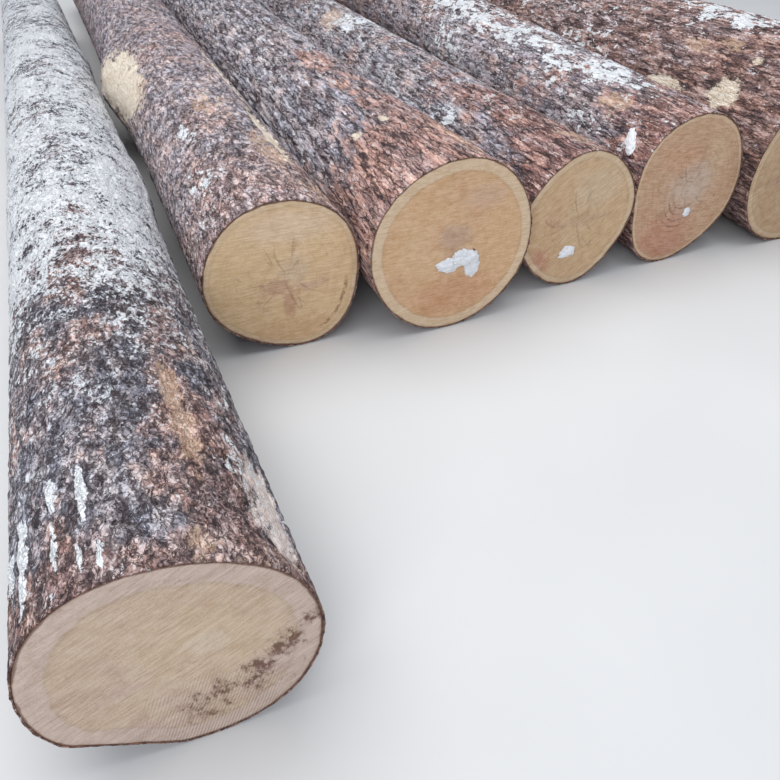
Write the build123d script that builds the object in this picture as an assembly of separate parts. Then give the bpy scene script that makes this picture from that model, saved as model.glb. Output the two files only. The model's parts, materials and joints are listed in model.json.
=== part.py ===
from build123d import *
from dataclasses import dataclass, replace
from math import cos, exp, radians, sin, tan
import os

# A row of six barked sawlogs that lie side by side on level ground.
# Millimetres and degrees. X runs across the row to the right, Y along the logs away from their
# front ends, Z up. An angle round a log is 0 at its right side and 90 on top.

# Sizes that every log shares
STOCK_LENGTH = 6000       # length that the logs are sold in
TRIM_ALLOWANCE = 80       # left on each log so that its ends can be trimmed square
ROLL_GAP = 1.0            # air where one log is rolled up against the next
FLARE_REACH = 260         # how fast the butt swell dies away along the stem
TIP_SHARE = 0.6           # share of the butt's lobes that is left at the tip
GRAIN_TURN = 3            # degrees that the lobes turn in each metre, with the spiral grain
FRONT_ROW_BACK = 1214     # from the first log's front end to the second's, which the rest line up with

# Diameters over the bark at the front ends, from left to right
DIAMETER_1 = 526
DIAMETER_2 = 523
DIAMETER_3 = 602
DIAMETER_4 = 496
DIAMETER_5 = 553
DIAMETER_6 = 730

# How finely the stems are drawn
OUTLINE_POINTS = 32       # points that each section's closed curve runs through
STRIPS = 16               # faces side by side round a log
EVEN_STATIONS = 6         # sections of a stem without knots
KNOT_STATIONS = (-1.4, -0.7, 0, 0.7, 1.4)    # sections over a knot, in its own reaches
STATION_ROOM = 200        # an even section gives way to a knot's section that is nearer than this
CONTACT_STEP = 20         # between the places where two neighbours are compared
CUT_ROUNDS = 4            # a point of a skewed cut is found in this many steps
UNDERSIDE = range(200, 341, 5)
FLANK = range(-76, 77, 4)


@dataclass(frozen=True)
class Lobe:
    """One wave of the section at the front end: bulges round the log, their height, and one's angle."""

    count: int
    height: float
    angle: float


@dataclass(frozen=True)
class Knot:
    """A swelling round a branch, which the bark has grown over or the saw cut off flush."""

    along: float
    angle: float
    rise: float
    reach: float          # along the log, to where the swelling has sunk to about a third
    spread: float         # the same round the log, in degrees
    sawn: float = 0       # depth of the flat that the saw left on the crown


@dataclass(frozen=True)
class Trim:
    """A slanting flat, sawn off a root spur at the front end, that runs out along the stem."""

    angle: float
    depth: float
    length: float


@dataclass(frozen=True)
class Log:
    """One log, measured over its bark."""

    name: str
    front_diameter: float
    taper: float          # diameter lost in each metre from butt to tip
    flare: float          # how far the butt swells beyond the stem's own taper
    set_back: float       # of its front end behind the first log's
    heading: float        # degrees that its far end points to the left
    sweep: float          # bow to the right at half its length
    front_turn: float     # degrees that the front cut is out of square, seen from above
    front_lean: float     # the same, seen from the side
    far_turn: float
    over_length: float    # how much longer than stock length and allowance it was cut
    lobes: tuple
    knots: tuple
    trims: tuple = ()
    tip_first: bool = False
    offset: float = 0     # of its pith across the row, found by rolling it up to its neighbour

    @property
    def length(self):
        return STOCK_LENGTH + TRIM_ALLOWANCE + self.over_length


LOGS = [
    Log("log_1", front_diameter=DIAMETER_1, taper=12.9, flare=6, set_back=0,
        heading=2.0, sweep=11, front_turn=-1.1, front_lean=0.5, far_turn=1.5, over_length=15,
        lobes=(Lobe(2, 5.6, -40), Lobe(3, 1, -15), Lobe(4, 3.6, 33)),
        knots=(Knot(2120, 8, 26, 230, 30, 6), Knot(4050, 20, 16, 230, 26)),
        trims=(Trim(238, 23, 500),)),
    Log("log_2", front_diameter=DIAMETER_2, taper=9.7, flare=10, set_back=FRONT_ROW_BACK,
        heading=1.4, sweep=6, front_turn=-1.6, front_lean=-0.5, far_turn=-1, over_length=-20, tip_first=True,
        lobes=(Lobe(2, 5.1, -59), Lobe(3, 7.9, 56), Lobe(4, 4.4, 28)),
        knots=(Knot(2200, 170, 78, 330, 32, 12),)),
    Log("log_3", front_diameter=DIAMETER_3, taper=13.7, flare=8, set_back=FRONT_ROW_BACK - 74,
        heading=0.9, sweep=-4, front_turn=-3.7, front_lean=1, far_turn=0.5, over_length=30,
        lobes=(Lobe(2, 1.4, 25), Lobe(3, 2.1, 43), Lobe(4, 2.2, -20)),
        knots=(Knot(2650, 118, 14, 230, 24, 4),)),
    Log("log_4", front_diameter=DIAMETER_4, taper=11.8, flare=4, set_back=FRONT_ROW_BACK + 21,
        heading=-0.7, sweep=0, front_turn=-0.5, front_lean=0, far_turn=2, over_length=0,
        lobes=(Lobe(2, 9.7, 66), Lobe(3, 3, 42), Lobe(4, 5.8, 1)),
        knots=(Knot(1750, 104, 12, 210, 24),)),
    Log("log_5", front_diameter=DIAMETER_5, taper=11.5, flare=12, set_back=FRONT_ROW_BACK + 44,
        heading=-1.9, sweep=20, front_turn=-0.7, front_lean=0.5, far_turn=-1.5, over_length=45, tip_first=True,
        lobes=(Lobe(2, 15.3, 84), Lobe(3, 8.7, 4), Lobe(4, 5.9, -30)),
        knots=(Knot(420, 146, 12, 200, 22, 3),)),
    Log("log_6", front_diameter=DIAMETER_6, taper=11.5, flare=8, set_back=FRONT_ROW_BACK + 12,
        heading=-1.8, sweep=2, front_turn=-0.4, front_lean=0, far_turn=1, over_length=-10,
        lobes=(Lobe(2, 38.2, 51), Lobe(3, 2.3, -24), Lobe(4, 1.7, -31)),
        knots=(Knot(700, 126, 12, 210, 22),)),
]


def hill(distance, reach):
    """A smooth rise: 1 at its crown, about a third at its reach, and nothing far away."""
    return exp(-((distance / reach) ** 2))


def turned(angle):
    """An angle brought to between 180 degrees back and 180 on."""
    return (angle + 180) % 360 - 180


def stem_radius(log, along, angle):
    """From pith to bark, without the knots."""
    thinner = -1 if log.tip_first else 1
    from_butt = log.length - along if log.tip_first else along
    front_swell = log.flare * exp(-(log.length if log.tip_first else 0) / FLARE_REACH)
    radius = log.front_diameter / 2 - thinner * log.taper / 2 * along / 1000
    radius += log.flare * exp(-from_butt / FLARE_REACH) - front_swell
    share = TIP_SHARE ** (thinner * along / log.length)
    for lobe in log.lobes:
        turn = angle - lobe.angle - GRAIN_TURN * along / 1000
        radius += lobe.height * share * cos(radians(lobe.count * turn))
    return radius


def knot_rise(log, along, angle):
    """How far the knots lift the bark off the plain stem."""
    rise = 0
    for knot in log.knots:
        round_log = hill(turned(angle - knot.angle), knot.spread)
        rise += knot.rise * hill(along - knot.along, knot.reach) * round_log
    return rise


def pith(log, along):
    """Where the pith runs: across the row, and above ground so that the underside lies on it."""
    across = log.offset - tan(radians(log.heading)) * along
    across += 4 * log.sweep * along * (log.length - along) / log.length**2
    height = -min(stem_radius(log, along, angle) * sin(radians(angle)) for angle in UNDERSIDE)
    return Vector(across, log.set_back + along, height)


def outward(angle):
    """The direction from the pith to an angle round the log."""
    return Vector(cos(radians(angle)), 0, sin(radians(angle)))


def bark_point(log, along, angle):
    """A point of the bark, straight out from the pith."""
    radius = stem_radius(log, along, angle) + knot_rise(log, along, angle)
    return pith(log, along) + outward(angle) * radius


def ring(log, along, angles):
    """Points of the bark all round one place along the log."""
    return [bark_point(log, along, angle) for angle in angles]


def sawn_ring(log, along, turn, lean, angles):
    """The same where a saw cut, out of square by two small angles, crosses the bark."""
    middle = pith(log, along)
    points = []
    for angle in angles:
        point = bark_point(log, along, angle)
        for _ in range(CUT_ROUNDS):
            back = (point.X - middle.X) * tan(radians(log.heading + turn))
            forward = (point.Z - middle.Z) * tan(radians(lean))
            point = bark_point(log, along - back + forward, angle)
        points.append(point)
    return points


def stations(log):
    """Where the sections between the saw cuts stand: over each knot, and evenly elsewhere."""
    over_knots = [knot.along + reaches * knot.reach for knot in log.knots for reaches in KNOT_STATIONS]
    even = [log.length * i / (EVEN_STATIONS - 1) for i in range(1, EVEN_STATIONS - 1)]
    clear = [place for place in even if all(abs(place - other) > STATION_ROOM for other in over_knots)]
    return sorted(over_knots + clear)


def rings(log, angles):
    """Every ring of the log, from its front cut to its far one."""
    front = sawn_ring(log, 0, log.front_turn, log.front_lean, angles)
    far = sawn_ring(log, log.length, log.far_turn, 0, angles)
    return [front] + [ring(log, along, angles) for along in stations(log)] + [far]


def section(points):
    """A smooth closed curve through a ring, in equal arcs, as a face to loft through."""
    shares = [i / OUTLINE_POINTS for i in range(OUTLINE_POINTS + 1)]
    whole = Edge.make_spline(points, periodic=True, parameters=shares)
    return Face(Wire([whole.trim(i / STRIPS, (i + 1) / STRIPS) for i in range(STRIPS)]))


def plain_point(log, along, angle):
    """A point of the bark as it would be without the knots."""
    return pith(log, along) + outward(angle) * stem_radius(log, along, angle)


def flush_cut(log, knot):
    """What the saw took off a knot: a drum that stands on the flat."""
    grain = (plain_point(log, knot.along + knot.reach, knot.angle)
             - plain_point(log, knot.along - knot.reach, knot.angle))
    girth = (plain_point(log, knot.along, knot.angle + knot.spread)
             - plain_point(log, knot.along, knot.angle - knot.spread))
    crown = bark_point(log, knot.along, knot.angle)
    flat = Plane(origin=crown - outward(knot.angle) * knot.sawn, x_dir=grain, z_dir=grain.cross(girth))
    return flat * Cylinder(knot.reach, knot.rise, align=(Align.CENTER, Align.CENTER, Align.MIN))


def trim_plane(log, trim):
    """The flat of a trimmed root spur, deepest at the front end."""
    up = outward(trim.angle)
    grain = Vector(0, trim.length, 0) + up * trim.depth
    origin = plain_point(log, 0, trim.angle) - up * trim.depth
    return Plane(origin=origin, x_dir=grain, z_dir=grain.cross(up).cross(grain))


def build_log(log):
    """The whole log: lofted stem between its saw cuts, flush-cut knots and trimmed spurs."""
    angles = [360 * i / OUTLINE_POINTS for i in range(OUTLINE_POINTS)]
    stem = loft([section(points) for points in rings(log, angles)], ruled=True)
    for knot in log.knots:
        if knot.sawn:
            stem -= flush_cut(log, knot)
    for trim in log.trims:
        stem = split(stem, bisect_by=trim_plane(log, trim), keep=Keep.BOTTOM)
    return stem


def strands(log, side):
    """Lines of the bark from the front cut to the far one, from low to high on one side."""
    start = 0 if side > 0 else 180
    angles = [start + side * angle for angle in FLANK]
    return list(zip(*rings(log, angles)))


def crossing(strand, place):
    """Where a strand passes a place along the row, straight from ring to ring."""
    for near, far in zip(strand, strand[1:]):
        if near.Y <= place <= far.Y:
            return near + (far - near) * ((place - near.Y) / (far.Y - near.Y))
    return None


def profile(flank, place):
    """The side of a log at a place, from low to high."""
    points = [crossing(strand, place) for strand in flank]
    return [point for point in points if point is not None]


def across_at(line, height):
    """How far across the row a profile is at a height."""
    for low, high in zip(line, line[1:]):
        if low.Z <= height <= high.Z:
            return low.X + (high.X - low.X) * (height - low.Z) / (high.Z - low.Z)
    return None


def narrowest_gap(left, right):
    """The least room across the row between two logs as they are placed."""
    west, east = strands(left, 1), strands(right, -1)
    place = max(min(strand[0].Y for strand in west), min(strand[0].Y for strand in east))
    stop = min(max(strand[-1].Y for strand in west), max(strand[-1].Y for strand in east))
    gaps = []
    while place <= stop:
        line = profile(west, place)
        for point in profile(east, place):
            across = across_at(line, point.Z)
            if across is not None:
                gaps.append(point.X - across)
        place += CONTACT_STEP
    return min(gaps)


def roll_together(logs):
    """Each log rolled up against the one on its left."""
    placed = [logs[0]]
    for log in logs[1:]:
        gap = narrowest_gap(placed[-1], log)
        placed.append(replace(log, offset=ROLL_GAP - gap))
    return placed


def build_row():
    """Every log in its place, with the origin under the middle of the row."""
    row = roll_together(LOGS)
    solids = [build_log(log) for log in row]
    box = Compound([solid.solid() for solid in solids]).bounding_box()
    middle = Pos(-box.center().X, -box.center().Y, -box.min.Z)
    return {log.name: middle * solid for log, solid in zip(row, solids)}


os.makedirs("parts", exist_ok=True)
for name, solid in build_row().items():
    solid.label = name
    export_step(solid, f"parts/{name}.step")
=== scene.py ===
"""The look of a row of six barked sawlogs in winter, dressed over the frame's plain logs."""
import functools
import itertools
import json
import logging
import math
from dataclasses import dataclass
from enum import Enum, IntEnum
from typing import NamedTuple, Optional, Sequence, Union

import bmesh
import bpy
import numpy as np
from mathutils import Matrix, Vector
from mathutils.bvhtree import BVHTree


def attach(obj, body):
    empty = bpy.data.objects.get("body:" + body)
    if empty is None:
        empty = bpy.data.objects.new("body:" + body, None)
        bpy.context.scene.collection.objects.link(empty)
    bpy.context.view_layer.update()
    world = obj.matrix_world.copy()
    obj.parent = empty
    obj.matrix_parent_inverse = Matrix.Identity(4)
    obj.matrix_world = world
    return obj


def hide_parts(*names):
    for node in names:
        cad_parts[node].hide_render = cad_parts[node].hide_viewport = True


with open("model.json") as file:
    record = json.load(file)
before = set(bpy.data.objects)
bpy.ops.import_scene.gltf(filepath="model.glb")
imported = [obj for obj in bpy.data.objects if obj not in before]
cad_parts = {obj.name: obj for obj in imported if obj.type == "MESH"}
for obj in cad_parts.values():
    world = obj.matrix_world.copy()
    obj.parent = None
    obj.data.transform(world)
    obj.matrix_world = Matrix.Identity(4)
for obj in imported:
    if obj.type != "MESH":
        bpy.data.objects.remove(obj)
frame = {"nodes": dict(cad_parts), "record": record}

logging.basicConfig(level=logging.INFO, format="%(message)s")
LOG = logging.getLogger("row")

Colour = tuple[float, float, float]
Place = tuple[float, float, float]
Socket = bpy.types.NodeSocket
Source = Union[Socket, float, Sequence[float]]
Number = Union[float, np.ndarray]

BARK_THICKNESS = 0.012      # metres from the outside of the bark to the wood
RIM = 0.005                 # the same at the sawn ends, where the plates are knocked off
DISC_DEPTH = 0.004          # how deep each sawn face is let into the log's end
DISC_SEAM = 0.0006          # gap between a sawn face and the bark round it
FULL_TURN = 2 * math.pi
UPRIGHT = Matrix.Rotation(math.pi / 2, 3, "X")      # stands a flat ring up across the logs


class Slot(Enum):
    """The record's material slots."""

    BARK = "bark"
    SAWN = "sawn_wood"
    SNOW = "snow"


class End(Enum):
    """The two sawn ends of a log."""

    FRONT = 0
    FAR = 1

    @property
    def inward(self) -> int:
        """The sign of the direction along Y that leads into the log."""
        return 1 if self is End.FRONT else -1


class Mark(Enum):
    """What a place on the bark shows."""

    BARE = "bare"           # scraped down to pale wood
    OCHRE = "ochre"         # scraped down to orange inner bark
    RUBBED = "rubbed"       # rubbed down to the red bark under the grey
    SNOW = "snow"           # covered in snow


class Where(Enum):
    """What a clump of snow sticks to."""

    FACE = "face"
    BARK = "bark"


class Level(IntEnum):
    """Which part of the bark's tube a vertex belongs to."""

    SIDE = 0                # the bark itself
    LIP = 1                 # the bark's inner edge at a sawn end
    SEAT = 2                # the edge of the seat's bottom
    BOTTOM = 3              # the seat's bottom


class Tints(NamedTuple):
    """A colour and the paler one that it runs into."""

    middle: Colour
    pale: Colour


GREY = Tints((0.44, 0.390, 0.425), (0.80, 0.77, 0.80))
SLATE = Tints((0.270, 0.252, 0.282), (0.62, 0.61, 0.65))
LILAC = Tints((0.43, 0.365, 0.385), (0.76, 0.70, 0.73))
PINK = Tints((0.46, 0.325, 0.310), (0.80, 0.65, 0.62))
DUSK = Tints((0.36, 0.235, 0.215), (0.72, 0.56, 0.51))
RUSSET = Tints((0.37, 0.210, 0.185), (0.70, 0.50, 0.45))
UMBER = Tints((0.30, 0.180, 0.155), (0.60, 0.43, 0.38))
SALMON = Tints((0.50, 0.305, 0.265), (0.71, 0.51, 0.455))
# painted shade: the near-black colour laid into the bark's furrows and cracks
FURROW_SHADE = (0.036, 0.024, 0.028)


@dataclass(frozen=True)
class Patch:
    """An oval place on a log's bark."""

    along: float            # metres from the front end
    angle: float            # degrees round the log, 0 at its right side and 90 on top
    reach: float            # half its length along the log, in metres
    spread: float           # half its width round the log, in metres
    strength: float = 1.0


@dataclass(frozen=True)
class BarkLook:
    """How one log's bark is broken up and coloured."""

    plate_width: float
    plate_length: float
    furrow: float           # depth of the furrows between plates, in metres
    lumpy: float            # 0 for clean plates, 1 for loose flakes without order
    outer: Tints
    rubbed: Tints           # where the outer bark is rubbed off
    rub_run: float          # metres from the front end over which that thins out
    rub_far: float          # share of rubbed bark beyond them
    frost_near: float       # share of frost at the front end
    frost_far: float        # and beyond the run
    frost_run: float
    frost_side: float = 0.0     # how much more frost lies towards the left
    bare: Tints = Tints((0.62, 0.48, 0.35), (0.90, 0.81, 0.68))


@dataclass(frozen=True)
class Blot:
    """A soft stain in the wood of a sawn face."""

    at: tuple[float, float]         # X and Z from the face's middle, in metres
    reach: tuple[float, float]      # half its width and half its height
    tint: Colour
    strength: float = 0.6
    ragged: float = 1.0


@dataclass(frozen=True)
class Smudge:
    """Bark dirt that the saw dragged over a sawn face: a strip between two places on it."""

    start: tuple[float, float]
    stop: tuple[float, float]
    width: float
    strength: float


@dataclass(frozen=True)
class Check:
    """A drying crack that follows a growth ring."""

    share: float            # how far out it is, from pith to bark
    angle: float
    half_turn: float        # half its length, in degrees
    width: float


@dataclass(frozen=True)
class EndLook:
    """How one log's sawn face is coloured and cut."""

    heart: Colour
    core: Colour
    sap: Colour
    sap_width: float            # metres
    zone: Colour                # tint of the cloudy areas
    zone_share: float
    ridge_turn: float           # degrees that the saw's ridges lean from upright
    ridges: float = 0.0006      # their height, in metres
    ridge_spot: Place = (0.0, 0.0, 0.2)    # where they are deepest: X, Z, radius
    ridge_share: float = 0.2    # how plain they show there, in relief and as painted shade and highlight
    rings: float = 1.0          # how plain the growth rings show
    rays: float = 0.0           # how plain thin cracks show that run out from the pith
    brush_turn: float = 0.0     # degrees by which the saw's fine scratches rise to the right
    blots: tuple[Blot, ...] = ()
    smudges: tuple[Smudge, ...] = ()
    checks: tuple[Check, ...] = ()


@dataclass(frozen=True)
class Clump:
    """Snow stuck to a log."""

    name: str
    where: Where
    at: tuple[float, float]     # X and Z from the face's middle, or metres along and degrees round
    size: tuple[float, float, float]    # across, up or along, and proud of the log
    ragged: float               # how broken its outline is
    turn: float = 0.0           # degrees by which it is turned on the log


@dataclass(frozen=True)
class LogLook:
    """Everything that makes one log look like itself."""

    node: str
    seed: float
    bark: BarkLook
    end: EndLook
    patches: dict[Mark, tuple[Patch, ...]]
    clumps: tuple[Clump, ...] = ()


def smooth(low: float, high: float, value: np.ndarray) -> np.ndarray:
    """A soft step from 0 below low to 1 above high."""
    t = np.clip((value - low) / (high - low), 0, 1)
    return t * t * (3 - 2 * t)


def scattered(cells: np.ndarray, salt: int) -> np.ndarray:
    """A repeatable number from 0 to 1 for each whole-numbered place.

    Args:
        cells: One row a place.
        salt: Tells one set of numbers from another.

    Returns:
        One number a place.
    """
    mixed = cells.astype(np.int64) @ np.array([73856093, 19349663, 83492791]) + salt * 52711
    for _ in range(3):
        mixed = ((mixed ^ (mixed >> 15)) * 739982445) & 0x7FFFFFFF
    return ((mixed ^ (mixed >> 16)) & 0xFFFF) / 0xFFFF


class Field:
    """Noise sampled at a set of points."""

    TILT = np.array([[0.36, 0.48, -0.8], [-0.8, 0.6, 0.0], [0.48, 0.64, 0.6]])
    SHIFT = np.array([7.3, 3.1, 5.7])           # how far a seed of 1 moves the noise
    STRENGTH, FADE, FINER = 0.8, 0.52, 2.1      # of the first layer, and from each layer to the next
    BENDS = ((0.7, 1.0), (1.9, 0.5))            # fineness of each bend, and its share of the warp
    SLOPE = 0.3                                 # width of a furrow's slope, in cell widths
    FAR_OFF = 9.0                               # further than any cell's middle can be

    def __init__(self, points: np.ndarray, seed: float) -> None:
        """Keeps the points."""
        self.points = points
        self.shift = seed * self.SHIFT

    def scaled(self, width: float, length: float) -> np.ndarray:
        """The points in units of a feature's width, and of its length along Y."""
        return self.points / np.array([width, length, width]) + self.shift

    @staticmethod
    def soft(places: np.ndarray, salt: int) -> np.ndarray:
        """Smooth noise with features one unit wide.

        Args:
            places: One row a place.
            salt: Tells one noise from another.

        Returns:
            Values from -1 to 1.
        """
        low = np.floor(places)
        part = smooth(0, 1, places - low)
        total = np.zeros(len(places))
        for corner in itertools.product((0, 1), repeat=3):
            weight = np.prod(np.where(corner, part, 1 - part), axis=1)
            total += weight * scattered(low + corner, salt)
        return total * 2 - 1

    def cloud(self, width: float, length: float, octaves: int = 3) -> np.ndarray:
        """Soft noise of about -1 to 1.

        Args:
            width: Size of its features across the log, in metres.
            length: Their size along the log.
            octaves: How many finer layers are added up.

        Returns:
            One value a point.
        """
        places = self.scaled(width, length) @ self.TILT
        total = np.zeros(len(places))
        for octave in range(octaves):
            total += self.STRENGTH * self.FADE**octave * self.soft(places, octave)
            places = places @ self.TILT * self.FINER
        return total

    def plates(self, width: float, length: float, warp: float) -> tuple[np.ndarray, np.ndarray]:
        """Bark plates as cells.

        Args:
            width: Size of a plate across the log, in metres.
            length: Its size along the log.
            warp: How far the cells are bent out of shape, in cell widths.

        Returns:
            For each point how far inside its plate it is, 0 at the furrow and 1 on the plate, and a
            random height of 0 to 1 that the plate has.
        """
        places = self.scaled(width, length)
        for fineness, share in self.BENDS:
            push = np.stack([self.soft(places * fineness, salt) for salt in (5, 6, 7)], axis=1)
            places = places + warp * share * push
        low = np.floor(places)
        near, next_near = np.full((2, len(places)), self.FAR_OFF)
        chance = np.zeros(len(places))
        for corner in itertools.product((-1, 0, 1), repeat=3):
            cell = low + corner
            seed = cell + np.stack([scattered(cell, salt) for salt in (1, 2, 3)], axis=1)
            away = np.linalg.norm(seed - places, axis=1)
            closer = away < near
            next_near = np.where(closer, near, np.minimum(next_near, away))
            chance = np.where(closer, scattered(cell, 4), chance)
            near = np.where(closer, away, near)
        return smooth(0, self.SLOPE, next_near - near), chance


class Stem:
    """The shape of one of the frame's logs: its pith, its sawn planes and its outline."""

    STATIONS = 90       # how many sections are measured
    ANGLES = 120        # and how many radii of each
    INSET = 0.002       # metres behind a sawn plane where its outline is measured
    SAFE = 0.04         # metres behind it, where every ray meets the bark
    OUTSIDE = 1.0       # metres from the pith where the rays start
    FACING = 0.95       # how squarely a face looks along Y to belong to a sawn end

    def __init__(self, node: bpy.types.Object) -> None:
        """Measures the log.

        Args:
            node: The frame's mesh of the log.
        """
        mesh = node.data
        vertices = [v.co.copy() for v in mesh.vertices]
        faces = [tuple(p.vertices) for p in mesh.polygons]
        self.tree = BVHTree.FromPolygons(vertices, faces)
        self.centres, self.normals = {}, {}
        for end in End:
            self._measure_end(mesh, end)
        self.length = (self.centres[End.FAR] - self.centres[End.FRONT]).y
        self._measure_sides()

    def _measure_end(self, mesh: bpy.types.Mesh, end: End) -> None:
        """Finds a sawn end's plane.

        Args:
            mesh: The frame's mesh of the log.
            end: Which end it is.
        """
        flat = [p for p in mesh.polygons if p.normal.y * -end.inward > self.FACING]
        area = sum(p.area for p in flat)
        self.centres[end] = sum((p.center * p.area for p in flat), Vector()) / area
        self.normals[end] = sum((p.normal * p.area for p in flat), Vector()).normalized()

    def _measure_sides(self) -> None:
        """Casts rays out from the pith to the bark, at even steps along and round the log."""
        self.shares = np.linspace(0, 1, self.STATIONS)
        self.turns = np.linspace(0, FULL_TURN, self.ANGLES, endpoint=False)
        self.piths = np.zeros((self.STATIONS, 3))
        self.radii = np.zeros((self.STATIONS, self.ANGLES))
        for i, share in enumerate(self.shares):
            guess = self.centres[End.FRONT].lerp(self.centres[End.FAR], share)
            inner = min(max(share * self.length, self.SAFE), self.length - self.SAFE)
            guess.y = self.centres[End.FRONT].y + inner
            centre = self._middle(guess)
            centre.y = self.centres[End.FRONT].y + share * self.length
            self.piths[i] = centre
            for j, turn in enumerate(self.turns):
                self.radii[i, j] = self._cast(centre, turn, share)

    def _middle(self, guess: Vector) -> Vector:
        """The middle of the log's section.

        Args:
            guess: A point inside the section.

        Returns:
            The point halfway between the section's sides.
        """
        spans = []
        for axis in (Vector((1, 0, 0)), Vector((0, 0, 1))):
            ahead = self.tree.ray_cast(guess, axis)[3]
            behind = self.tree.ray_cast(guess, -axis)[3]
            spans.append(axis * ((ahead or 0) - (behind or 0)) / 2)
        return guess + spans[0] + spans[1]

    def _cast(self, centre: Vector, turn: float, share: float) -> float:
        """The distance from the pith to the bark.

        Args:
            centre: Where the pith is.
            turn: The angle round the log, in radians.
            share: How far along the log it is, from 0 to 1.

        Returns:
            The distance in metres.
        """
        out = Vector((math.cos(turn), 0, math.sin(turn)))
        if share not in (0, 1):
            return self._inwards(centre, out)
        end = End.FRONT if share == 0 else End.FAR
        wide = centre + out * self._inwards(centre + Vector((0, end.inward * self.SAFE, 0)), out)
        edge = Vector((centre.x, self.plane_y(end, wide.x, wide.z) + end.inward * self.INSET, centre.z))
        return self._inwards(edge, out)

    def _inwards(self, centre: Vector, out: Vector) -> float:
        """Casts a ray from outside the log towards its pith."""
        return self.OUTSIDE - self.tree.ray_cast(centre + out * self.OUTSIDE, -out)[3]

    def plane_y(self, end: End, x: Number, z: Number) -> Number:
        """Where a sawn plane is, along Y."""
        centre, normal = self.centres[end], self.normals[end]
        return centre.y - ((x - centre.x) * normal.x + (z - centre.z) * normal.z) / normal.y

    def pith(self, share: np.ndarray) -> np.ndarray:
        """The pith's places."""
        return np.stack([np.interp(share, self.shares, self.piths[:, axis]) for axis in range(3)], axis=1)

    def radius(self, share: np.ndarray, turn: np.ndarray) -> np.ndarray:
        """The distance from pith to bark, between the measured places.

        Args:
            share: How far along the log, from 0 to 1.
            turn: The angle round the log, in radians.

        Returns:
            The distances in metres.
        """
        row = np.clip(share, 0, 1) * (self.STATIONS - 1)
        low = np.minimum(row.astype(int), self.STATIONS - 2)
        column = np.mod(turn, FULL_TURN) / FULL_TURN * self.ANGLES
        left = column.astype(int) % self.ANGLES
        right = (left + 1) % self.ANGLES
        up, on = row - low, column - column.astype(int)
        first = self.radii[low, left] * (1 - on) + self.radii[low, right] * on
        second = self.radii[low + 1, left] * (1 - on) + self.radii[low + 1, right] * on
        return first * (1 - up) + second * up

    def place(self, share: np.ndarray, turn: np.ndarray, radius: np.ndarray) -> np.ndarray:
        """Points of the log, squeezed between its two sawn planes.

        Args:
            share: How far along the log, from 0 to 1.
            turn: The angle round the log, in radians.
            radius: The distance from the pith, in metres.

        Returns:
            One row a point.
        """
        points = self.pith(share)
        points[:, 0] += radius * np.cos(turn)
        points[:, 2] += radius * np.sin(turn)
        front = self.plane_y(End.FRONT, points[:, 0], points[:, 2])
        far = self.plane_y(End.FAR, points[:, 0], points[:, 2])
        points[:, 1] = front + share * (far - front)
        return points


def finished_mesh(name: str, bm: bmesh.types.BMesh, material: bpy.types.Material,
                  points: Optional[np.ndarray] = None) -> bpy.types.Object:
    """Turns a bmesh into a smooth-shaded object at the origin.

    Args:
        name: The object's name.
        bm: The shape, which is freed.
        material: Its finish.
        points: Where its vertices go; None leaves them where they are.

    Returns:
        The new object.
    """
    for vertex, point in zip(bm.verts, () if points is None else points):
        vertex.co = point
    bmesh.ops.recalc_face_normals(bm, faces=bm.faces)
    mesh = bpy.data.meshes.new(name)
    bm.to_mesh(mesh)
    bm.free()
    mesh.shade_smooth()
    mesh.materials.append(material)
    piece = bpy.data.objects.new(name, mesh)
    bpy.context.scene.collection.objects.link(piece)
    return piece


def set_attribute(piece: bpy.types.Object, name: str, values: np.ndarray) -> None:
    """Stores one number a vertex for the finish to read."""
    layer = piece.data.attributes.new(name, "FLOAT", "POINT")
    layer.data.foreach_set("value", values.astype(np.float32))


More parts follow.
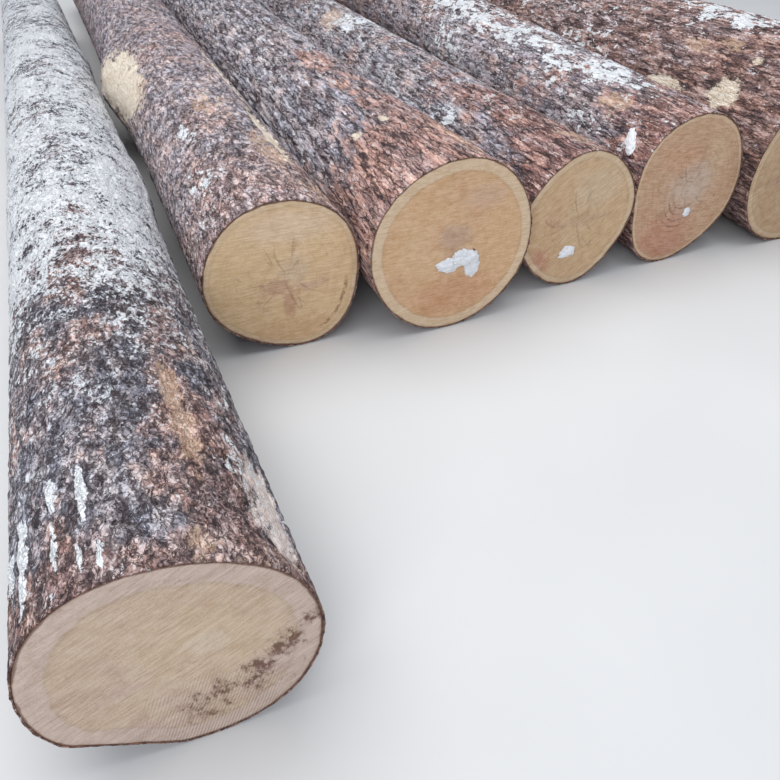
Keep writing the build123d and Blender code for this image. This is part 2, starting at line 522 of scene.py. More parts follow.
@dataclass(frozen=True)
class BarkBody:
    """A log's bark, with a shallow seat for the sawn face at each end."""

    look: LogLook
    stem: Stem
    around: int = 288               # faces round the log
    rings: int = 226                # and along it
    crowding: float = 2.1           # how much closer the rings stand at the front end
    lip_width: float = 0.04         # of the tube's lip, drawn at a radius of 1
    bottom_share: float = 0.5       # how far out the ring on the seat's bottom lies
    hub: float = 0.01               # what lies nearer to the tube's middle is its hub

    def _tube(self) -> tuple[bmesh.types.BMesh, np.ndarray]:
        """A closed tube with stepped ends, drawn at a radius of 1 and one unit a ring.

        Returns:
            The tube, and each vertex's level.
        """
        bm = bmesh.new()
        bmesh.ops.create_cone(bm, cap_ends=True, segments=self.around, radius1=1, radius2=1, depth=self.rings)
        bmesh.ops.rotate(bm, verts=bm.verts, matrix=UPRIGHT)
        bmesh.ops.translate(bm, verts=bm.verts, vec=(0, self.rings / 2, 0))
        lengthwise = [e for e in bm.edges if abs(e.verts[0].co.y - e.verts[1].co.y) > 1]
        bmesh.ops.subdivide_edges(bm, edges=lengthwise, cuts=self.rings - 1, use_grid_fill=True)
        caps = [f for f in bm.faces if len(f.verts) > 4]
        layer = bm.verts.layers.int.new("level")
        bmesh.ops.inset_individual(bm, faces=caps, thickness=self.lip_width)
        self._raise_to(Level.LIP, caps, layer)
        seats = bmesh.ops.extrude_discrete_faces(bm, faces=caps)["faces"]
        self._raise_to(Level.SEAT, seats, layer)
        bmesh.ops.inset_individual(bm, faces=seats, thickness=self.bottom_share)
        self._raise_to(Level.BOTTOM, seats, layer)
        for hub in bmesh.ops.poke(bm, faces=seats)["verts"]:
            hub[layer] = Level.BOTTOM
        levels = np.array([v[layer] for v in bm.verts])
        bm.verts.layers.int.remove(layer)
        return bm, levels

    @staticmethod
    def _raise_to(level: Level, faces: Sequence[bmesh.types.BMFace], layer: bmesh.types.BMLayerItem) -> None:
        """Notes the level of some faces' vertices."""
        for vertex in itertools.chain.from_iterable(face.verts for face in faces):
            vertex[layer] = level

    def build(self, material: bpy.types.Material) -> bpy.types.Object:
        """Makes the finished bark.

        Args:
            material: The bark's finish.

        Returns:
            The piece.
        """
        bm, levels = self._tube()
        flat = np.array([v.co for v in bm.verts])
        turn = np.arctan2(flat[:, 2], flat[:, 0])
        row = flat[:, 1] / self.rings
        share = (np.exp(self.crowding * row) - 1) / (math.exp(self.crowding) - 1)
        radius = self.stem.radius(share, turn)
        relief = BarkRelief(self.look, self.stem, self.stem.place(share, turn, radius), share, turn, radius)
        offset = np.where(levels >= Level.LIP, -RIM, relief.offset)
        reach = np.where(levels == Level.BOTTOM, self.bottom_share, 1.0) * (radius + offset)
        reach[(np.hypot(flat[:, 0], flat[:, 2]) < self.hub) & (levels != Level.SIDE)] = 0
        points = self.stem.place(share, turn, reach)
        inward = np.where(row < 0.5, End.FRONT.inward, End.FAR.inward) * DISC_DEPTH
        points[levels >= Level.SEAT, 1] += inward[levels >= Level.SEAT]
        points[:, 2] = np.maximum(points[:, 2], 0)
        piece = finished_mesh(f"{self.look.node}_bark", bm, material, points)
        cut = np.where(levels >= Level.LIP, 1.0, 0.0)
        for name, values in (*relief.fields().items(), ("cut", cut)):
            set_attribute(piece, name, values)
        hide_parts(self.look.node)
        return piece


class BarkRelief:
    """Heights and marks of the bark at a set of points."""

    SNOW_DEPTH = 0.006
    PROUD = 0.001               # metres that the plates stand over the plain log
    HIGHEST = 0.004             # and that snow may
    STRIPPED = 0.8              # share of the bark's thickness that is gone where it is scraped off
    END_RUN = 0.10              # metres from a sawn end over which the furrows reach their full depth
    PATCH_EDGE = (0.3, 1.7)     # where a patch starts to fade and where it is gone, in its own sizes
    CRUMB = (0.017, 0.022)      # size of a crumb across and along the log, in metres
    PLATE_SCALE = (1.5, 1.3)    # size of a cell against a plate, across and along
    PLATE_WARP = 0.4
    RAGGED = 0.3                # how ragged a patch's edge is
    FAINTEST = 0.02             # strength from which a patch has a ragged edge
    RUB_AREA = (0.16, 0.3)      # size of the more and less rubbed areas, across and along
    RUB_SWING = 0.45            # and how much they differ
    RUB_BELOW = 0.25            # how much redder the underside is
    FROST_AREA = (0.13, 0.24)
    FROST_SWING = 0.4
    FROST_RISE = (-0.45, 0.55)  # how high up the log frost starts and where it is full
    WORN = 0.45                 # how much flatter rubbed bark is
    STRIPPED_BAND = (0.42, 0.6)     # strengths of a mark over which the bark comes off
    COVER_BAND = (0.6, 0.9)     # and of frost and snow over which they grow thick

    def __init__(self, look: LogLook, stem: Stem, surface: np.ndarray, share: np.ndarray,
                 turn: np.ndarray, radius: np.ndarray) -> None:
        """Works out every field.

        Args:
            look: The log's look.
            stem: The measured log.
            surface: The points on the plain log.
            share: How far along the log each is, from 0 to 1.
            turn: Its angle round the log, in radians.
            radius: Its distance from the pith.
        """
        self.look = look
        self.length = stem.length
        self.along = share * self.length
        self.turn = turn
        self.radius = radius
        self.up = np.sin(turn)
        self.noise = Field(surface, look.seed)
        self.ragged = self.noise.cloud(0.04, 0.09, 5)
        self.bare, self.ochre, self.snow = (self._marked(mark) for mark in (Mark.BARE, Mark.OCHRE, Mark.SNOW))
        self.rubbed = self._rubbed()
        self.frost = self._frost()
        self.height, self.offset = self._heights()

    def fields(self) -> dict[str, np.ndarray]:
        """What the finish reads from the mesh."""
        return {"relief": self.height, "bare": self.bare, "ochre": self.ochre, "frost": self.frost,
                "snow": self.snow, "rubbed": self.rubbed}

    def _marked(self, mark: Mark) -> np.ndarray:
        """How strongly each point is inside patches of one mark.

        Args:
            mark: The mark.

        Returns:
            Values from 0 to 1, about a half at a patch's edge.
        """
        found = np.zeros(len(self.turn))
        for patch in self.look.patches.get(mark, ()):
            turned = (self.turn - math.radians(patch.angle) + math.pi) % FULL_TURN - math.pi
            out = np.hypot((self.along - patch.along) / patch.reach, turned * self.radius / patch.spread)
            found = np.maximum(found, patch.strength * (1 - smooth(*self.PATCH_EDGE, out)))
        return np.clip(found + self.RAGGED * self.ragged * (found > self.FAINTEST), 0, 1)

    def _rubbed(self) -> np.ndarray:
        """Where the grey outer bark is rubbed off to the red beneath.

        Returns:
            Values from 0 to 1.
        """
        look = self.look.bark
        near = 1 - smooth(0, look.rub_run, self.along)
        low = self.RUB_BELOW * np.clip(-self.up + 0.35, 0, 1)
        own = (look.rub_far + (1 - look.rub_far) * near + low
               + self.RUB_SWING * self.noise.cloud(*self.RUB_AREA))
        return np.clip(own + self._marked(Mark.RUBBED), 0, 1)

    def _frost(self) -> np.ndarray:
        """How much frost lies on each point.

        Returns:
            Values from 0 to 1.
        """
        look = self.look.bark
        share = look.frost_near + (look.frost_far - look.frost_near) * smooth(0, look.frost_run, self.along)
        share = share * smooth(*self.FROST_RISE, self.up) - look.frost_side * np.cos(self.turn)
        return np.clip(share + self.FROST_SWING * self.noise.cloud(*self.FROST_AREA) * share, 0, 1)

    def _heights(self) -> tuple[np.ndarray, np.ndarray]:
        """The bark's relief.

        Returns:
            The height from 0 in a furrow to 1 on a plate, and the offset from the plain log in metres.
        """
        look = self.look.bark
        wide, long = self.PLATE_SCALE
        inside, chance = self.noise.plates(look.plate_width * wide, look.plate_length * long, self.PLATE_WARP)
        crumbs = np.clip(0.55 + 0.75 * self.noise.cloud(*self.CRUMB), 0, 1)
        plates = inside * (0.75 + 0.25 * chance) * (0.85 + 0.15 * crumbs)
        height = plates * (1 - look.lumpy) + crumbs * look.lumpy
        worn = self.rubbed * self.WORN
        height = height * (1 - worn) + worn * (0.5 + 0.35 * height)
        ends = np.minimum(self.along, self.length - self.along)
        offset = self.PROUD - look.furrow * (1 - height) * (0.6 + 0.4 * smooth(0.0, self.END_RUN, ends))
        stripped = smooth(*self.STRIPPED_BAND, np.maximum(self.bare, self.ochre * 0.8))
        offset = offset * (1 - stripped) - stripped * (BARK_THICKNESS * self.STRIPPED)
        cover = smooth(*self.COVER_BAND, np.maximum(self.frost - 0.1, self.snow))
        offset = np.clip(offset + cover * self.SNOW_DEPTH, -BARK_THICKNESS, self.HIGHEST)
        return height * (1 - stripped) + stripped, offset


@dataclass(frozen=True)
class SawnFace:
    """The wood at one end of a log."""

    look: LogLook
    stem: Stem
    end: End
    around: int = 192
    front_rings: int = 30
    far_rings: int = 10
    recess: float = 0.0004          # least depth of the sawn wood behind the log's end, in metres
    rough: float = 0.0006           # how much deeper the rough cut goes
    back_gap: float = 0.0002        # between the disc's back and the seat's bottom
    smudge_edge: tuple[float, float] = (0.2, 1.6)   # where a smudge fades and ends, in its own widths

    def _disc(self) -> bmesh.types.BMesh:
        """A flat closed disc of radius 1 with concentric rings, whose back is at Y = 1.

        Returns:
            The disc.
        """
        bm = bmesh.new()
        bmesh.ops.create_circle(bm, cap_ends=True, segments=self.around, radius=1)
        bmesh.ops.rotate(bm, verts=bm.verts, matrix=UPRIGHT)
        rings = self.front_rings if self.end is End.FRONT else self.far_rings
        back = bmesh.ops.extrude_face_region(bm, geom=bm.faces[:], use_keep_orig=True)["geom"]
        moved = [g for g in back if isinstance(g, bmesh.types.BMVert)]
        bmesh.ops.translate(bm, verts=moved, vec=(0, 1, 0))
        bm.faces.ensure_lookup_table()
        face = next(f for f in bm.faces if len(f.verts) > 4 and f.calc_center_median().y < 0.5)
        for _ in range(rings - 1):
            bmesh.ops.inset_individual(bm, faces=[face], thickness=1 / rings)
        bmesh.ops.poke(bm, faces=[face])
        return bm

    def build(self, material: bpy.types.Material) -> bpy.types.Object:
        """Makes the finished face.

        Args:
            material: The sawn wood's finish.

        Returns:
            The piece.
        """
        bm = self._disc()
        flat = np.array([v.co for v in bm.verts])
        turn = np.arctan2(flat[:, 2], flat[:, 0])
        out = np.hypot(flat[:, 0], flat[:, 2])
        share = np.full(len(flat), float(self.end.value))
        edge = self.stem.radius(share, turn) - RIM - DISC_SEAM
        points = self.stem.place(share, turn, out * edge)
        rough = Field(points, self.look.seed + 3).cloud(0.09, 0.09)
        front = self.recess + self.rough * np.clip(rough + 0.5, 0, 1)
        points[:, 1] += self.end.inward * np.where(flat[:, 1] > 0.5, DISC_DEPTH - self.back_gap, front)
        piece = finished_mesh(f"{self.look.node}_{self.end.name.lower()}_face", bm, material, points)
        for name, values in (("share", out), ("edge", (1 - out) * edge), ("smudge", self._smudged(points))):
            set_attribute(piece, name, values)
        return piece

    def _smudged(self, points: np.ndarray) -> np.ndarray:
        """How dirty each point is.

        Args:
            points: The face's points.

        Returns:
            Values from 0 to 1.
        """
        centre = self.stem.centres[self.end]
        x, z = points[:, 0] - centre.x, points[:, 2] - centre.z
        found = np.zeros(len(x))
        for smudge in self.look.end.smudges if self.end is End.FRONT else ():
            run_x, run_z = np.array(smudge.stop) - np.array(smudge.start)
            from_x, from_z = x - smudge.start[0], z - smudge.start[1]
            run = np.clip((from_x * run_x + from_z * run_z) / np.hypot(run_x, run_z)**2, 0, 1)
            away = np.hypot(from_x - run * run_x, from_z - run * run_z) / smudge.width
            found = np.maximum(found, smudge.strength * (1 - smooth(*self.smudge_edge, away)))
        return found


@dataclass(frozen=True)
class SnowClump:
    """A lump of snow frozen onto a log."""

    clump: Clump
    look: LogLook
    stem: Stem
    sunk: float = 0.003             # how far its flat back is let into the log, in metres
    into_bark: float = 0.4          # how deep it sits in the bark, as a share of the bark's thickness
    least: float = 0.45             # how near and how far its lumps may reach, in its own sizes
    most: float = 1.5
    crumbled: float = 0.12          # how far its small crumbs do

    def _basis(self) -> tuple[np.ndarray, np.ndarray]:
        """The lump's centre on the log, and its directions.

        Returns:
            The centre, and rows for across, up or along, and outwards.
        """
        first, second = self.clump.at
        if self.clump.where is Where.FACE:
            centre = self.stem.centres[End.FRONT]
            x, z = centre.x + first, centre.z + second
            place = np.array([x, self.stem.plane_y(End.FRONT, x, z), z])
            return place, np.array([[1, 0, 0], [0, 0, 1], [0, -1, 0]])
        share = np.array([first / self.stem.length])
        turn = np.array([math.radians(second)])
        radius = self.stem.radius(share, turn) - BARK_THICKNESS * self.into_bark
        out = np.array([math.cos(turn[0]), 0, math.sin(turn[0])])
        return self.stem.place(share, turn, radius)[0], np.array([[out[2], 0, -out[0]], [0, 1, 0], out])

    def build(self, material: bpy.types.Material) -> bpy.types.Object:
        """Makes the finished lump.

        Args:
            material: The snow's finish.

        Returns:
            The piece.
        """
        bm = bmesh.new()
        bmesh.ops.create_icosphere(bm, subdivisions=5, radius=1)
        unit = np.array([v.co for v in bm.verts])
        lumps = Field(unit, self.look.seed + len(self.clump.name))
        swell = 1 + self.clump.ragged * lumps.cloud(0.7, 0.7, 2) + self.crumbled * lumps.cloud(0.2, 0.2)
        local = unit * np.clip(swell, self.least, self.most)[:, None] * np.array(self.clump.size) / (2, 2, 1)
        local[:, 2] = np.maximum(local[:, 2], -self.sunk)
        local = local @ np.array(Matrix.Rotation(-math.radians(self.clump.turn), 3, "Z"))
        centre, basis = self._basis()
        return finished_mesh(f"{self.look.node}_{self.clump.name}", bm, material, centre + local @ basis)


@dataclass(frozen=True)
class Noise:
    """One kind of soft noise in a finish."""

    size: float                 # of its features, in metres
    detail: float = 3           # how many finer layers it has
    roughness: float = 0.55     # how strong those are
    bend: float = 0.0           # how far it is bent by itself


class Graph:
    """A material's node tree, built up by short calls."""

    NUMBERS = ("LENGTH", "DISTANCE", "DOT_PRODUCT")     # sums with places that give a number
    SHINE = 0.25                                        # specular level of every finish
    MIDDLE = 0.5                                        # what noise of 0 to 1 lies about

    def __init__(self, name: str) -> None:
        """Makes an empty finish.

        Args:
            name: The material's name.
        """
        self.material = bpy.data.materials.new(name)
        self.material.use_nodes = True
        self.tree = self.material.node_tree
        self.tree.nodes.clear()
        self.surface = self.node("ShaderNodeBsdfPrincipled")
        output = self.node("ShaderNodeOutputMaterial")
        self.feed(output.inputs["Surface"], self.surface.outputs["BSDF"])
        self.place = self.node("ShaderNodeTexCoord").outputs["Object"]

    def feed(self, target: Socket, source: Source) -> None:
        """Sets a socket from another socket or a constant.

        Args:
            target: The socket to set.
            source: Where its value comes from.
        """
        if isinstance(source, bpy.types.NodeSocket):
            self.tree.links.new(source, target)
        elif target.type == "RGBA":
            target.default_value = (*source, 1)
        else:
            target.default_value = source

    def node(self, kind: str, inputs: Optional[dict[Union[int, str], Source]] = None,
             **settings: str) -> bpy.types.Node:
        """Adds a node.

        Args:
            kind: Its type.
            inputs: Sources by socket name or number.
            **settings: Its properties.

        Returns:
            The node.
        """
        made = self.tree.nodes.new(kind)
        for name, value in settings.items():
            setattr(made, name, value)
        for name, source in (inputs or {}).items():
            self.feed(made.inputs[name], source)
        return made

    def math(self, operation: str, first: Source, second: Source = 0.0) -> Socket:
        """One sum."""
        return self.node("ShaderNodeMath", {0: first, 1: second}, operation=operation).outputs[0]

    def vector(self, operation: str, first: Source, second: Source = (0.0, 0.0, 0.0)) -> Socket:
        """One sum with places."""
        made = self.node("ShaderNodeVectorMath", {0: first, 1: second}, operation=operation)
        return made.outputs["Value" if operation in self.NUMBERS else "Vector"]

    def total(self, *parts: Source) -> Source:
        """Several numbers added up."""
        return functools.reduce(lambda first, second: self.math("ADD", first, second), parts)

    def times(self, *parts: Source) -> Source:
        """Several numbers multiplied."""
        return functools.reduce(lambda first, second: self.math("MULTIPLY", first, second), parts)

    def weighed(self, *parts: tuple[Source, float]) -> Source:
        """Several numbers added up by weight."""
        return self.total(*(self.times(part, weight) for part, weight in parts))

    def swung(self, base: Source, *noises: tuple[Source, float]) -> Source:
        """A number that noises swing up and down."""
        swings = (self.times(self.math("SUBTRACT", noise, self.MIDDLE), share) for noise, share in noises)
        return self.total(base, *swings)

    def apart(self, first: Source, second: Source) -> Socket:
        """How far two numbers are apart."""
        return self.math("ABSOLUTE", self.math("SUBTRACT", first, second))

    def eased(self, mask: Source, share: float) -> Source:
        """A mask that cuts less deep."""
        return self.total(self.times(mask, share), 1 - share)

    def step(self, value: Source, band: tuple[float, float]) -> Socket:
        """A soft step."""
        sockets = {"Value": value, "From Min": band[0], "From Max": band[1]}
        return self.node("ShaderNodeMapRange", sockets, interpolation_type="SMOOTHSTEP").outputs["Result"]

    def stretched(self, vector: Socket, scale: Sequence[float]) -> Socket:
        """A place scaled by axis."""
        return self.vector("MULTIPLY", vector, scale)

    def bent(self, vector: Socket, size: float, reach: float, along: float = 1.0) -> Socket:
        """A place pushed about by noise.

        Args:
            vector: The place.
            size: Size of the noise's features, in metres.
            reach: How far it pushes, in metres.
            along: Factor for the pushed place's run along the log.

        Returns:
            The pushed place.
        """
        push = self.node("ShaderNodeTexNoise", {"Vector": vector, "Scale": 1 / size, "Detail": 2.0})
        centred = self.vector("SUBTRACT", push.outputs["Color"], (self.MIDDLE,) * 3)
        moved = self.vector("ADD", vector, self.stretched(centred, (reach, reach, reach)))
        return moved if along == 1.0 else self.stretched(moved, (1, along, 1))

    def turned(self, vector: Socket, degrees: float) -> Socket:
        """A place turned about Y."""
        sockets = {"Vector": vector, "Angle": math.radians(degrees)}
        return self.node("ShaderNodeVectorRotate", sockets, rotation_type="Y_AXIS").outputs[0]

    def cloud(self, vector: Source, noise: Noise) -> Socket:
        """Soft noise.

        Args:
            vector: The place.
            noise: Its kind.

        Returns:
            Values from 0 to 1, mostly near a half.
        """
        sockets = {"Vector": vector, "Scale": 1 / noise.size, "Detail": noise.detail,
                   "Roughness": noise.roughness, "Distortion": noise.bend}
        return self.node("ShaderNodeTexNoise", sockets).outputs["Fac"]

    def cells(self, vector: Source, size: float, feature: str = "F1") -> bpy.types.Node:
        """Cells like flakes."""
        return self.node("ShaderNodeTexVoronoi", {"Vector": vector, "Scale": 1 / size}, feature=feature)

    def ramp(self, factor: Source, *stops: tuple[float, Colour]) -> Socket:
        """A run of colours.

        Args:
            factor: The place on the run.
            *stops: Places from 0 to 1 with their colours.

        Returns:
            The colour.
        """
        made = self.node("ShaderNodeValToRGB", {"Fac": factor})
        elements = made.color_ramp.elements
        while len(elements) < len(stops):
            elements.new(self.MIDDLE)
        for element, (position, colour) in zip(elements, stops):
            element.position = position
            element.color = (*colour, 1)
        return made.outputs["Color"]

    def mix(self, factor: Source, first: Source, second: Source, blend: str = "MIX") -> Socket:
        """Two colours mixed."""
        sockets = {0: factor, 6: first, 7: second}
        return self.node("ShaderNodeMix", sockets, data_type="RGBA", blend_type=blend).outputs[2]

    def over(self, colour: Source, tint: Source, mask: Source, most: float) -> Socket:
        """A colour laid over another."""
        return self.mix(self.times(mask, most), colour, tint)

    def attribute(self, name: str) -> Socket:
        """A number stored on the mesh."""
        return self.node("ShaderNodeAttribute", attribute_name=name).outputs["Fac"]

    def finish(self, colour: Source, roughness: Source, height: Source, depth: float) -> bpy.types.Material:
        """Wires the surface up.

        Args:
            colour: The base colour.
            roughness: How matt it is.
            height: The fine relief, from 0 to 1.
            depth: That relief's depth in metres.

        Returns:
            The material.
        """
        bump = self.node("ShaderNodeBump", {"Height": height, "Distance": depth, "Strength": 1.0})
        for name, source in (("Base Color", colour), ("Roughness", roughness),
                             ("Specular IOR Level", self.SHINE), ("Normal", bump.outputs["Normal"])):
            self.feed(self.surface.inputs[name], source)
        return self.material


@dataclass(frozen=True)
class BarkFinish:
    """Flaky bark with furrows, rubbed and stripped places, frost and snow."""

    name: str
    look: BarkLook
    ochre: Tints = Tints((0.45, 0.24, 0.15), (0.84, 0.61, 0.45))
    frost: Tints = Tints((0.50, 0.53, 0.58), (0.79, 0.815, 0.85))
    cut: Tints = Tints((0.09, 0.035, 0.024), (0.36, 0.17, 0.10))

    FLAKE = 0.55                        # width of a flake, as a share of a plate's
    DEPTH = 0.005                       # of the fine relief, in metres
    ROUGHNESS = 0.92
    FROST_SMOOTHING = 0.22              # how much less rough frost and snow are
    FLECK = Noise(0.0062, 3, 0.6)       # specks on the flakes
    CRUMB = Noise(0.020, 4, 0.65)       # crumbs of the size of a flake
    CURL = Noise(0.024, 2, 0.6, 0.7)    # curled edges of loose flakes
    HUE = Noise(0.045, 3, 0.6)          # warmer and cooler plates
    DRIFT = Noise(0.12, 4, 0.6)         # lighter and darker areas
    FIBRE = Noise(0.007, 4, 0.65)       # fibres of scraped places
    TORN = Noise(0.03, 6, 0.75)         # and their torn edges
    HOAR = Noise(0.010, 4, 0.7)         # specks of frost
    HOAR_AREA = Noise(0.06, 5, 0.7)
    SNOW_EDGE = Noise(0.034, 6, 0.7)
    COOL, WARM = (0.93, 0.98, 1.05), (1.07, 1.0, 0.96)
    RUBBED_BAND = (0.26, 0.78)
    HUE_BAND = (0.38, 0.62)
    SCRAPED_BAND = (0.38, 0.68)
    FROST_BAND = (0.46, 0.68)
    SNOW_BAND = (0.50, 0.60)

    def make(self) -> bpy.types.Material:
        """Builds the finish.

        Returns:
            The material.
        """
        g = Graph(self.name)
        ratio = self.look.plate_width / self.look.plate_length
        long = 1 - self.look.lumpy
        grain = g.bent(g.place, 0.05, 0.022, ratio)
        flaky = g.bent(g.place, 0.02, 0.030 - 0.016 * long, ratio)
        fleck = g.cloud(g.bent(g.place, 0.009, 0.009, 0.62 - 0.5 * long), self.FLECK)
        crumb = g.cloud(grain, self.CRUMB)
        drift = g.cloud(g.place, self.DRIFT)
        chance = g.cells(flaky, self.look.plate_width * self.FLAKE).outputs["Color"]
        cracks = self._cracks(g, grain, flaky, crumb)
        tone = g.swung(0.51 + 0.045 * long, (fleck, 1.6 - 0.6 * long), (crumb, 0.7 + 0.35 * long),
                       (drift, 0.9), (chance, 0.55))
        rubbed = g.step(g.swung(g.attribute("rubbed"), (crumb, 1.2), (drift, 2.2)), self.RUBBED_BAND)
        colour = g.mix(rubbed, self._run(g, tone, self.look.outer), self._run(g, tone, self.look.rubbed))
        hue = g.step(g.cloud(grain, self.HUE), self.HUE_BAND)
        colour = g.mix(1.0, colour, g.mix(hue, self.COOL, self.WARM), "MULTIPLY")
        # Painted shade: the furrows and cracks are darkened near black, as shade falls in them.
        high = g.times(g.step(g.attribute("relief"), (-0.1, 0.30 + 0.22 * long)), cracks)
        colour = self._scraped(g, g.mix(high, FURROW_SHADE, colour), tone)
        edge = g.ramp(crumb, (0.35, self.cut.middle), (0.68, self.cut.pale))
        colour = g.mix(g.attribute("cut"), colour, edge)
        hidden, thickness = self._cover(g, fleck, high)
        white = g.ramp(thickness, (0.5, self.frost.middle), (0.85, self.frost.pale))
        height = g.weighed((cracks, 0.9), (fleck, 0.75 - 0.4 * long), (crumb, 0.7))
        roughness = g.math("SUBTRACT", self.ROUGHNESS, g.times(hidden, self.FROST_SMOOTHING))
        return g.finish(g.mix(hidden, colour, white), roughness, height, self.DEPTH)

    def _cracks(self, g: Graph, grain: Socket, flaky: Socket, crumb: Socket) -> Source:
        """Cracks painted dark as shade: deep ones round the plates, faint ones round the flakes and curled
        ones.

        Args:
            g: The node tree.
            grain: A place squeezed along the log, for the plates.
            flaky: The same for the flakes.
            crumb: Noise of the size of a flake.

        Returns:
            0 in a crack and 1 beside it.
        """
        width, lumpy = self.look.plate_width, self.look.lumpy
        wide, fine = (g.cells(place, size, "DISTANCE_TO_EDGE").outputs["Distance"]
                      for place, size in ((grain, width), (flaky, width * self.FLAKE)))
        wide = g.step(g.swung(wide, (crumb, 0.45)), (-0.02, 0.08))
        fine = g.step(g.swung(fine, (crumb, 0.8)), (-0.03, 0.10))
        off = g.apart(g.cloud(flaky, self.CURL), g.MIDDLE)
        curled = g.step(g.swung(off, (crumb, 0.06)), (0.0, 0.034))
        return g.times(g.eased(wide, 1 - 0.6 * lumpy), g.eased(fine, 0.55), g.eased(curled, 0.95 * lumpy))

    @staticmethod
    def _run(g: Graph, tone: Source, tints: Tints) -> Socket:
        """A run from near black through one colour to the paler one."""
        dark, dim = (tuple(channel * share for channel in tints.middle) for share in (0.13, 0.7))
        return g.ramp(tone, (0.12, dark), (0.36, dim), (0.56, tints.middle), (0.88, tints.pale))

    def _scraped(self, g: Graph, colour: Socket, tone: Source) -> Socket:
        """Lays the scraped places over the bark.

        Args:
            g: The node tree.
            colour: The bark's colour.
            tone: The bark's fine shading.

        Returns:
            The colour.
        """
        fibre = g.cloud(g.stretched(g.place, (1, 0.14, 1)), self.FIBRE)
        torn = g.cloud(g.stretched(g.place, (1, 0.6, 1)), self.TORN)
        grain = g.weighed((fibre, 0.7), (tone, 0.3))
        for mark, tints, most in ((Mark.OCHRE, self.ochre, 0.55), (Mark.BARE, self.look.bare, 0.96)):
            shown = g.step(g.swung(g.attribute(mark.value), (torn, 2.0)), self.SCRAPED_BAND)
            colour = g.over(colour, g.ramp(grain, (0.28, tints.middle), (0.58, tints.pale)), shown, most)
        return colour

    def _cover(self, g: Graph, fleck: Socket, high: Source) -> tuple[Source, Source]:
        """Frost in fine specks, and snow in ragged patches.

        Args:
            g: The node tree.
            fleck: Fine noise.
            high: 0 in the furrows and 1 on the plates.

        Returns:
            How much of the bark is hidden, and how thick they lie.
        """
        area = g.cloud(g.place, self.HOAR_AREA)
        hoar = g.cloud(g.bent(g.place, 0.012, 0.012, 0.5), self.HOAR)
        edge = g.cloud(g.bent(g.place, 0.04, 0.03, 0.6), self.SNOW_EDGE)
        frost = g.swung(g.attribute("frost"), (hoar, 1.7), (fleck, 1.1), (area, 2.0), (high, 0.18))
        snow = g.swung(g.attribute("snow"), (edge, 2.4), (hoar, 0.6), (high, 0.12))
        hidden = g.math("MAXIMUM", g.times(g.step(frost, self.FROST_BAND), 0.95), g.step(snow, self.SNOW_BAND))
        return hidden, g.math("MAXIMUM", frost, g.total(snow, 0.25))


